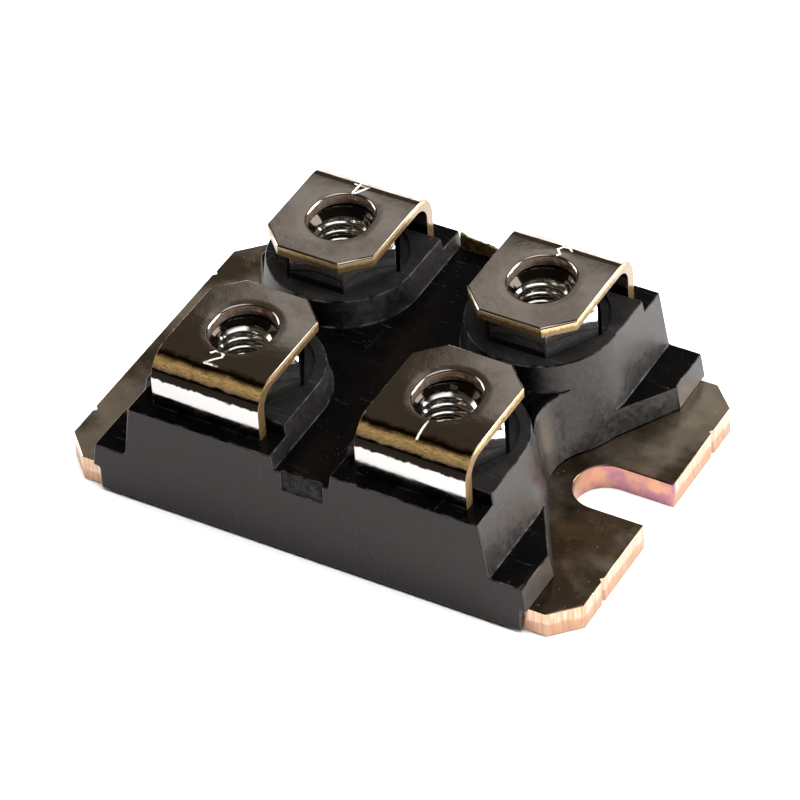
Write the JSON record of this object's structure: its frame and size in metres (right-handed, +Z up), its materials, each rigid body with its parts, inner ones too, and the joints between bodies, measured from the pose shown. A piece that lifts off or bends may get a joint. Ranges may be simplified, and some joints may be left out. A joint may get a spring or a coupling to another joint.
{
  "type": "schottky diode module",
  "caption": "Flat power module: Schottky diodes moulded onto a copper base plate, with screw terminals and captive nuts on top, a closed mounting hole and an open mounting slot.",
  "frame": {"origin": "centre of the base plate's underside", "axes": "+X along the length towards the open mounting slot, +Y across the module towards the cathode terminals, +Z up out of the base plate"},
  "size_m": [0.038, 0.0252, 0.012],
  "materials": {
    "plated_copper": "satin nickel plate over copper, sheared edges",
    "moulding": "black epoxy moulding, slightly glossy",
    "terminal_plating": "bright nickel plate over copper",
    "nut_steel": "bright nickel-plated steel",
    "solder": "dull solder",
    "bare_copper": "bare copper",
    "ceramic": "white alumina ceramic",
    "silicon": "metallised silicon",
    "bond_aluminium": "bright drawn wire"
  },
  "bodies": {
    "root": {"base_plate": "plated_copper", "housing": "moulding", "terminal_1": "terminal_plating", "terminal_2": "terminal_plating", "terminal_3": "terminal_plating", "terminal_4": "terminal_plating", "terminal_nuts": "nut_steel", "plate_solder": "solder", "substrate_copper": "bare_copper", "substrate_ceramic": "ceramic", "cathode_pad_1": "bare_copper", "cathode_pad_2": "bare_copper", "anode_pad_1": "bare_copper", "anode_pad_2": "bare_copper", "die_solder_1": "solder", "die_solder_2": "solder", "diode_die_1": "silicon", "diode_die_2": "silicon", "foot_solder": "solder", "bond_wires_1": "bond_aluminium", "bond_wires_2": "bond_aluminium"}
  },
  "joints": []
}
